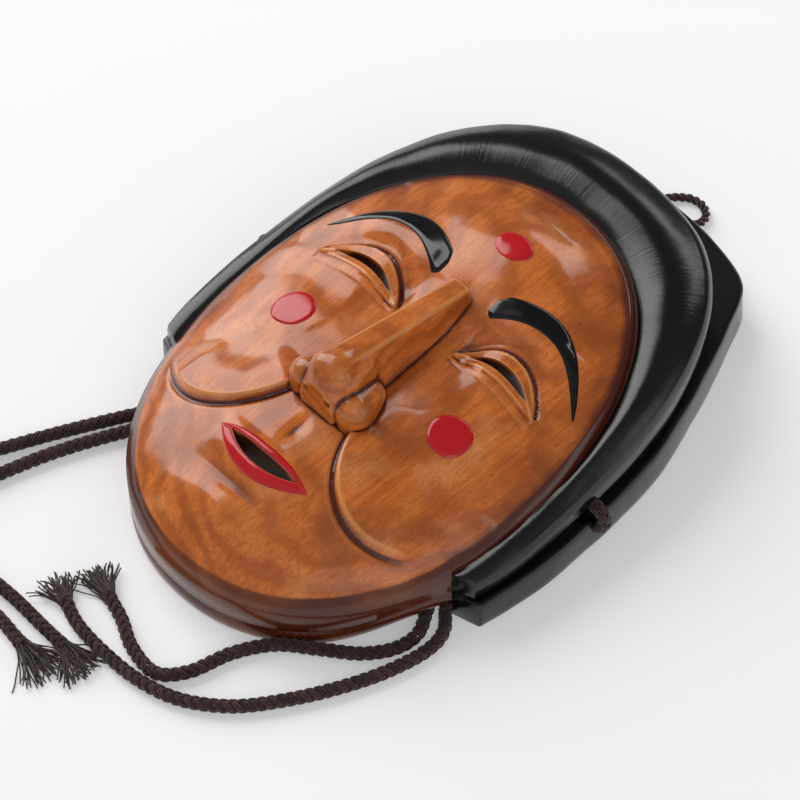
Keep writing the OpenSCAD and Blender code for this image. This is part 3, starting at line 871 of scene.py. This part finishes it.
films = [  # piece, node, grid parts, place, slot
    ("right_brow_film", "right_brow", (120, 16), brow_place(1), "black_film"),
    ("left_brow_film", "left_brow", (120, 16), brow_place(-1), "black_film"),
    ("upper_lip_film", "upper_lip", (80, 10), lip_place(True), "red_film"),
    ("lower_lip_film", "lower_lip", (80, 10), lip_place(False), "red_film"),
    ("forehead_spot_film", "forehead_spot", (32, 32), spot_place(0, 38, 14, 11), "red_film"),
    ("right_cheek_spot_film", "right_cheek_spot", (32, 32), spot_place(36, -26, 15, 15),
     "red_film"),
    ("left_cheek_spot_film", "left_cheek_spot", (32, 32), spot_place(-36, -26, 15, 15),
     "red_film")]

# Brushed lacquer: full gloss, with a slow orange-peel waviness and a few specks
# of dust under the surface.
def lacquer(name, dark, light, peel, rough, speck, streak=0.0):
    """Lacquer with peel deep waves, dust specks speck apart, and brush streaks."""
    material, tree, out = new_material(name)
    where = add_node(tree, "ShaderNodeTexCoord")
    cloud = add_node(tree, "ShaderNodeTexNoise", Vector=where.outputs["Object"],
                     Scale=1 / (9 * MM), Detail=3)
    colour = add_node(tree, "ShaderNodeMix", {"data_type": "RGBA"}, i0=cloud.outputs["Fac"],
                      i6=linear(dark), i7=linear(light))
    waves = add_node(tree, "ShaderNodeTexNoise", Vector=where.outputs["Object"],
                     Scale=1 / (3.2 * MM), Detail=2)
    dust = add_node(tree, "ShaderNodeTexVoronoi", Vector=where.outputs["Object"],
                    Scale=1 / (speck * MM))
    grain = add_node(tree, "ShaderNodeMapRange", Value=dust.outputs["Distance"], From_Min=0.02,
                     From_Max=0.07, To_Min=1, To_Max=0)
    height = add_node(tree, "ShaderNodeMath", {"operation": "MULTIPLY_ADD"},
                      i0=grain.outputs[0], i1=0.25, i2=waves.outputs["Fac"])
    # Brush strokes about 1.2 mm wide run outwards, 90 mm from the middle.
    apart = add_node(tree, "ShaderNodeSeparateXYZ", Vector=where.outputs["Object"])
    around = add_node(tree, "ShaderNodeMath", {"operation": "ARCTAN2"},
                      i0=apart.outputs["Y"], i1=apart.outputs["X"])
    stroke = add_node(tree, "ShaderNodeTexNoise", {"noise_dimensions": "1D"}, W=around.outputs[0],
                      Scale=90 / 1.2, Detail=4, Roughness=0.7)
    brushed = add_node(tree, "ShaderNodeMath", {"operation": "MULTIPLY_ADD"},
                       i0=stroke.outputs["Fac"], i1=streak, i2=height.outputs[0])
    rise = add_node(tree, "ShaderNodeBump", Height=brushed.outputs[0], Strength=1,
                    Distance=peel * MM)
    shader = add_node(tree, "ShaderNodeBsdfPrincipled", Base_Color=colour.outputs[2],
                      Roughness=rough, Normal=rise.outputs[0], IOR=1.52)
    tree.links.new(shader.outputs[0], out.inputs[0])
    return material


red_lacquer = lacquer("red_brushed_lacquer", "#b90f19", "#cb1a22", 0.03, 0.16, 6)
black_film = lacquer("black_film_lacquer", "#060607", "#0b0b0d", 0.03, 0.14, 5)
black_lacquer = lacquer("black_brushed_lacquer", "#060608", "#0c0c10", 0.04, 0.2, 9, streak=1.6)
for piece_name, node, (nu, nv), place, slot in films:
    finish = red_lacquer if slot == "red_film" else black_film
    new_piece(piece_name, film_mesh(piece_name, nu, nv, place), finish, "mask", (node,))

# ---- Hair ----
# The hair is carved in two steps from the same block as the face and lacquered
# black. The front roll rises from the hairline to a soft crest and ends in a
# crisp lip over an undercut wall; the lower hair stands out below it.
hair_from, hair_to = -18.75, 198.75  # degrees round the face, from jaw to jaw
roll_wall, lip_r = 8, 2.5


def rim_share(w):
    """Where the inner edge of the lower hair is across a roll of width w, 0 to 1."""
    return np.maximum(0.02 / w, 1 - rim_in / w)


def between(a, b, k):
    """The place a share k of the way from a to b."""
    return a * (1 - k) + b * k


def arched(a, b, c, k):
    """The place a share k along the curve from a to c that bends towards b."""
    return between(between(a, b, k), between(b, c, k), k)


def tube_from_sections(name, sections):
    """A closed piece from sections of equal length, along its length and round it."""
    end_bevel = 0.5
    n, m = sections.shape[:2]
    bm = grid_bmesh(n - 1, m)
    at = coordinates(bm)
    i = np.rint((at[:, 0] + 1) / 2 * (n - 1)).astype(int)
    j = np.rint((at[:, 1] + 1) / 2 * m).astype(int) % m
    p = sections[i, j]
    move_to(bm.verts, p[:, 0], p[:, 1], p[:, 2])
    bmesh.ops.remove_doubles(bm, verts=bm.verts, dist=0.002 * MM)
    ends = [e for e in bm.edges if e.is_boundary]
    caps = bmesh.ops.holes_fill(bm, edges=ends, sides=0)["faces"]
    rims = list({e for f in caps for e in f.edges})
    bmesh.ops.recalc_face_normals(bm, faces=bm.faces)
    bmesh.ops.bevel(bm, geom=rims, offset=end_bevel * MM, segments=2, profile=0.5,
                    affect="EDGES", material=-1, clamp_overlap=True)
    bmesh.ops.triangulate(bm, faces=[f for f in bm.faces if len(f.verts) > 4])
    return shape_object(name, bm)


def shade(mesh, degrees):
    """Smooth shading with sharp edges where the faces meet at more than an angle."""
    mesh.polygons.foreach_set("use_smooth", [True] * len(mesh.polygons))
    bm = bmesh.new()
    bm.from_mesh(mesh)
    limit = math.radians(degrees)
    for e in bm.edges:
        e.smooth = not (len(e.link_faces) == 2 and e.calc_face_angle(0) > limit)
    bm.to_mesh(mesh)
    bm.free()


angles = np.radians(np.linspace(hair_from, hair_to, 260))
(ax, ay), (bx, by), w = face_at(angles), lip_at(angles), roll_width(angles)
inner_top, outer_top = edge_z(ay), lip_z(by)
crest = (1 + 0.12 * w) * (0.45 + 0.55 * smooth((w - 9) / 12))


def roll_top(f):
    """The height of the roll a share f of the way from the face to its lip."""
    return inner_top + (outer_top - inner_top) * f + crest * np.sin(math.pi * f ** 0.85)


root = 1 - 4 / w
inner_share = rim_share(w)
# Each row is a share of the way across the roll and a height: up the inner face,
# over the top, round the lip, down the wall, in under it and back along the bottom.
rows = [(np.zeros_like(w), between(under_roll_z(angles), inner_top, k)) for k in (0, 0.5)]
rows += [(np.full_like(w, f), roll_top(f)) for f in
         [0, 0.015, 0.04, 0.08, 0.13, 0.18, 0.24, 0.3, 0.36, 0.42, 0.48, 0.54, 0.6, 0.66,
          0.72, 0.78, 0.83, 0.87]]
lip_from = 1 - 2.3 / w
start_z = roll_top(np.clip(lip_from, 0, 1))
for k in (0, 0.25, 0.5, 0.75, 1):
    rows.append((arched(lip_from, 1 - 0.75 / w, 1 - 0.12 / w, k),
                 arched(start_z, outer_top - 0.2, outer_top - lip_r, k)))
for k in (0.25, 0.5, 0.75, 0.92, 1):
    rows.append((1 - (0.12 + 0.5 * k) / w, between(outer_top - lip_r, outer_top - roll_wall, k)))
root_z = split_z(between(ay, by, root))
for k in (0.35, 0.7, 1):
    rows.append((between(1 - 0.62 / w, root, k), between(outer_top - roll_wall, root_z, k)))
for k in (0.5, 1):
    share = between(root, inner_share, k)
    rows.append((share, split_z(between(ay, by, share))))
share_of = np.array([r[0] for r in rows]).T
rise_of = np.array([r[1] for r in rows]).T
px = between(ax[:, None], bx[:, None], share_of)
py = between(ay[:, None], by[:, None], share_of)
on_top = smooth((rise_of - (outer_top - roll_wall - 1)[:, None]) / 3) * smooth(share_of / 0.1)
cut = waver(px, py, rise_of, 17, 3) * 0.5 + waver(px, py, rise_of, 7, 8) * 0.12
rise_of = rise_of + cut * on_top * 0.8
outward = cut * smooth((share_of - 0.7) / 0.3) * 0.7
length = np.hypot(bx - ax, by - ay)[:, None]
px += (bx - ax)[:, None] / length * outward
py += (by - ay)[:, None] / length * outward
front_roll = tube_from_sections("front_roll", np.stack([px, py, rise_of], axis=2))

# The lower hair: flat behind, with a lobe that flares out on each side of the top.
lobe = np.array([(75, -50), (77.5, -30), (77.5, -8), (76, 12), (73, 32), (67.5, 50), (60, 70),
                 (53, 86), (48, 97), (44, 102), (36, 105.5), (20, 109), (0, 110.5)], float)
lobe_3d = np.hstack([np.vstack([lobe, lobe[-2::-1] * (-1, 1)]), np.zeros((25, 1))])
outer_line = smooth_line(lobe_3d, 1.4)[:, :2]
n = len(outer_line)
angles = np.radians(np.linspace(hair_from, hair_to, n))
(ax, ay), (bx, by), w = face_at(angles), lip_at(angles), roll_width(angles)
inner_line = np.stack([between(ax, bx, rim_share(w)), between(ay, by, rim_share(w))], axis=1)
across = outer_line - inner_line
wide = np.linalg.norm(across, axis=1)
sections = []
for share, height, cut_in in [  # share across, share of the height, how far cut in
        (0, 0, 0), (0.5, 0, 0), (1, 0, 0.9), (1, 0.03, 0.35), (1, 0.07, 0.1), (1, 0.25, 0),
        (1, 0.5, 0), (1, 0.75, 0.05), (1, 0.9, 0.15), (1, 0.955, 0.35), (1, 0.985, 0.7),
        (1, 1, 1.2), (1, 1, 2.4), (0.6, 1, 0), (0.3, 1, 0), (0, 1, 0), (0, 0.5, 0)]:
    f = share - cut_in / wide
    p = inner_line + across * f[:, None]
    top = split_z(p[:, 1])
    q = np.stack([p[:, 0], p[:, 1], top * height], axis=1)
    if share == 1:
        shift = (waver(q[:, 0], q[:, 1], q[:, 2], 15, 5) * 0.45
                 + waver(q[:, 0], q[:, 1], q[:, 2], 6, 9) * 0.12)
        q[:, :2] += across / wide[:, None] * shift[:, None]
    sections.append(q)
back_piece = tube_from_sections("lower_hair", np.stack(sections, axis=1))

tie_hole_d, loop_hole_d = 5, 3.2
tie_drills = [rod("drill", (-90, 0, z), (90, 0, z), tie_hole_d) for z in (z_upper, z_lower)]
for base in (front_roll, back_piece, face):
    worked(base, tie_drills, "DIFFERENCE", remove=False)
worked(back_piece, [rod("drill", (way * leg_x, 70, loop_z), (way * leg_x, 130, loop_z),
                        loop_hole_d) for way in (1, -1)], "DIFFERENCE")
for tool in tie_drills:
    bpy.data.objects.remove(tool)
for name, base, node in (("front_hair_roll", front_roll, "front_hair"),
                         ("lower_hair_rim", back_piece, "back_hair")):
    shade(base.data, 38)
    new_piece(name, base.data, black_lacquer, "mask", (node,))
    bpy.data.objects.remove(base)

# ---- Stained wood ----
# The face is brushed with a red-brown stain and gloss lacquer. The stain is dark on the
# rim and pools in the grooves, where painted shade darkens it further. Painted shade also
# darkens the cut openings and the face along the hairline, and a painted highlight
# lightens the sharp edges. The hollow behind has only a thin coat.
def stain_and_shade(mesh):
    """Each point's stain with its painted shade and highlight (0 light, 0.5 even, 1 dark), and
    whether it is inside.
    """
    count = len(mesh.vertices)
    at, normal = np.empty(count * 3, np.float32), np.empty(count * 3, np.float32)
    mesh.vertices.foreach_get("co", at)
    mesh.vertex_normals.foreach_get("vector", normal)
    at, normal = at.reshape(-1, 3) / MM, normal.reshape(-1, 3)
    ends = np.empty(len(mesh.edges) * 2, np.int32)
    mesh.edges.foreach_get("vertices", ends)
    a, b = ends.reshape(-1, 2).T
    along = at[b] - at[a]
    along /= np.maximum(np.linalg.norm(along, axis=1), 1e-6)[:, None]
    near = np.maximum(np.bincount(np.concatenate([a, b]), minlength=count), 1)

    def spread(values_a, values_b):
        return (np.bincount(a, values_a, count) + np.bincount(b, values_b, count)) / near

    groove = spread((along * normal[a]).sum(1), -(along * normal[b]).sum(1))
    for step in range(14):
        groove = 0.5 * groove + 0.5 * spread(groove[b], groove[a])
        if step == 1:
            fine = groove.copy()
    x, y, z = at.T
    share = face_share(x, y)
    # Painted shade along the hairline, where the hair roll stands over the face: uneven in
    # patches over a broad band, and strongest at the very edge.
    patchiness = 0.75 + 0.7 * waver(x, y, z, 11, 2)
    hairline = ((0.15 * smooth((share - 0.76) / 0.2) * patchiness
                 + 0.2 * smooth((share - 0.925) / 0.035)) * smooth((y - jaw_y + 6) / 12))
    rim = smooth((share - 0.955) / 0.012)
    # Painted shade on the walls of the eye, mouth and nostril openings: fully dark.
    cut_in = smooth((surface_z(x, y) - z - 0.5) / 1.2) * (share < 0.93)
    # Stain and painted shade in the grooves, a painted highlight on the sharp edges (weaker on
    # the rim), dark stain on the rim, and a little darker towards the face's edge.
    depth = (0.5 + 6.5 * np.clip(groove, 0, 0.09) + 2.6 * np.clip(fine, 0, 0.15)
             - 3.0 * np.clip(-fine, 0, 0.09) * (1 - 0.85 * rim) + hairline
             + (0.4 + 0.2 * waver(x, y, z, 19, 6)) * rim
             + 0.06 * smooth((share - 0.84) / 0.12) * (1 - rim) + cut_in)
    half = np.where(y > mid_y, face_top, face_chin)
    inside = ((z < surface_z(x, y) - 2.5) & (share < 0.93)) | (z < rim_z(np.arctan2(
        (y - mid_y) / half, x / face_half_w)) + 0.3)
    return np.clip(depth, 0, 1), inside.astype(float)


stained_wood, tree, out = new_material("stained_lacquered_wood")
where = add_node(tree, "ShaderNodeTexCoord")
# The stain with its painted shade and painted highlight, and where the raw hollow is.
depth = add_node(tree, "ShaderNodeAttribute", {"attribute_name": "stain_and_shade"})
inside = add_node(tree, "ShaderNodeAttribute", {"attribute_name": "inside"})
# The block is flat-sawn: its growth rings lie nearly level, so they show as bands
# round the dome, and the fibres run from chin to crown.
drift = add_node(tree, "ShaderNodeTexNoise", Vector=where.outputs["Object"],
                 Scale=1 / (40 * MM), Detail=2)
apart = add_node(tree, "ShaderNodeSeparateXYZ", Vector=where.outputs["Object"])
level = add_node(tree, "ShaderNodeMath", {"operation": "MULTIPLY_ADD"},
                 i0=apart.outputs["X"], i1=0.16, i2=apart.outputs["Z"])
ring_at = add_node(tree, "ShaderNodeMath", {"operation": "MULTIPLY_ADD"},
                   i0=drift.outputs["Fac"], i1=22 * MM, i2=level.outputs[0])
phase = add_node(tree, "ShaderNodeMath", {"operation": "MULTIPLY"}, i0=ring_at.outputs[0],
                 i1=2 * math.pi / (5.2 * MM))
rings = add_node(tree, "ShaderNodeMath", {"operation": "SINE"}, i0=phase.outputs[0])
fibres = add_node(tree, "ShaderNodeMapping", Vector=where.outputs["Object"])
fibres.inputs["Scale"].default_value = (1, 0.055, 1)
streaks = add_node(tree, "ShaderNodeTexNoise", Vector=fibres.outputs[0], Scale=1 / (1.5 * MM),
                   Detail=5, Roughness=0.62)
hairs = add_node(tree, "ShaderNodeTexNoise", Vector=fibres.outputs[0], Scale=1 / (0.5 * MM),
                 Detail=4, Roughness=0.75)
pore_space = add_node(tree, "ShaderNodeMapping", Vector=where.outputs["Object"])
pore_space.inputs["Scale"].default_value = (1, 0.13, 1)
pores = add_node(tree, "ShaderNodeTexNoise", Vector=pore_space.outputs[0],
                 Scale=1 / (0.34 * MM), Detail=1)
patches = add_node(tree, "ShaderNodeTexNoise", Vector=where.outputs["Object"],
                   Scale=1 / (24 * MM), Detail=3)
raw = add_node(tree, "ShaderNodeMix", {"data_type": "RGBA"}, i0=streaks.outputs["Fac"],
               i6=linear("#5e3d25"), i7=linear("#432a18"))
colour = linear("#dc7b30")
for source, low, high, amount, next_colour in [
        (streaks.outputs["Fac"], 0.3, 0.72, 1, linear("#c25f20")),
        (rings.outputs[0], -0.6, 1, 0.5, linear("#984411")),
        (patches.outputs["Fac"], 0.5, 0.72, 0.6, linear("#e6985c")),
        (patches.outputs["Fac"], 0.5, 0.3, 0.6, linear("#8f4516")),
        (hairs.outputs["Fac"], 0.5, 0.66, 0.5, linear("#94501c")),
        (pores.outputs["Fac"], 0.64, 0.72, 0.45, linear("#54230c")),
        # Low values lighten to the painted highlight colour of the sharp edges; high values
        # darken to the colour of the stain and the painted shade.
        (depth.outputs["Fac"], 0.5, 0.2, 0.7, linear("#e79c58")),
        (depth.outputs["Fac"], 0.54, 0.93, 0.95, linear("#451106")),
        (inside.outputs["Fac"], 0, 1, 1, raw.outputs[2])]:
    part = add_node(tree, "ShaderNodeMapRange", {"interpolation_type": "SMOOTHSTEP"},
                    Value=source, From_Min=low, From_Max=high, To_Max=amount)
    colour = add_node(tree, "ShaderNodeMix", {"data_type": "RGBA"}, i0=part.outputs[0],
                      i6=colour, i7=next_colour).outputs[2]
rise = add_node(tree, "ShaderNodeBump", Height=streaks.outputs["Fac"], Strength=0.35,
                Distance=0.05 * MM)
flow = add_node(tree, "ShaderNodeTexNoise", Vector=where.outputs["Object"],
                Scale=1 / (5 * MM), Detail=2)
flow_rise = add_node(tree, "ShaderNodeBump", Height=flow.outputs["Fac"], Strength=0.5,
                     Distance=0.09 * MM)
coat = add_node(tree, "ShaderNodeMapRange", Value=inside.outputs["Fac"], To_Min=0.9, To_Max=0.1)
wood_shader = add_node(tree, "ShaderNodeBsdfPrincipled", Base_Color=colour, Roughness=0.42,
                       Normal=rise.outputs[0], Specular_IOR_Level=0.12, Coat_IOR=1.48,
                       Coat_Roughness=0.15, Coat_Weight=coat.outputs[0],
                       Coat_Normal=flow_rise.outputs[0])
tree.links.new(wood_shader.outputs[0], out.inputs[0])

face_stain_shade, face_inside = stain_and_shade(face.data)
set_points(face.data, "stain_and_shade", face_stain_shade)
set_points(face.data, "inside", face_inside)
shade(face.data, 50)
new_piece("carved_face", face.data, stained_wood, "mask", ("face_shell",))
bpy.data.objects.remove(face)
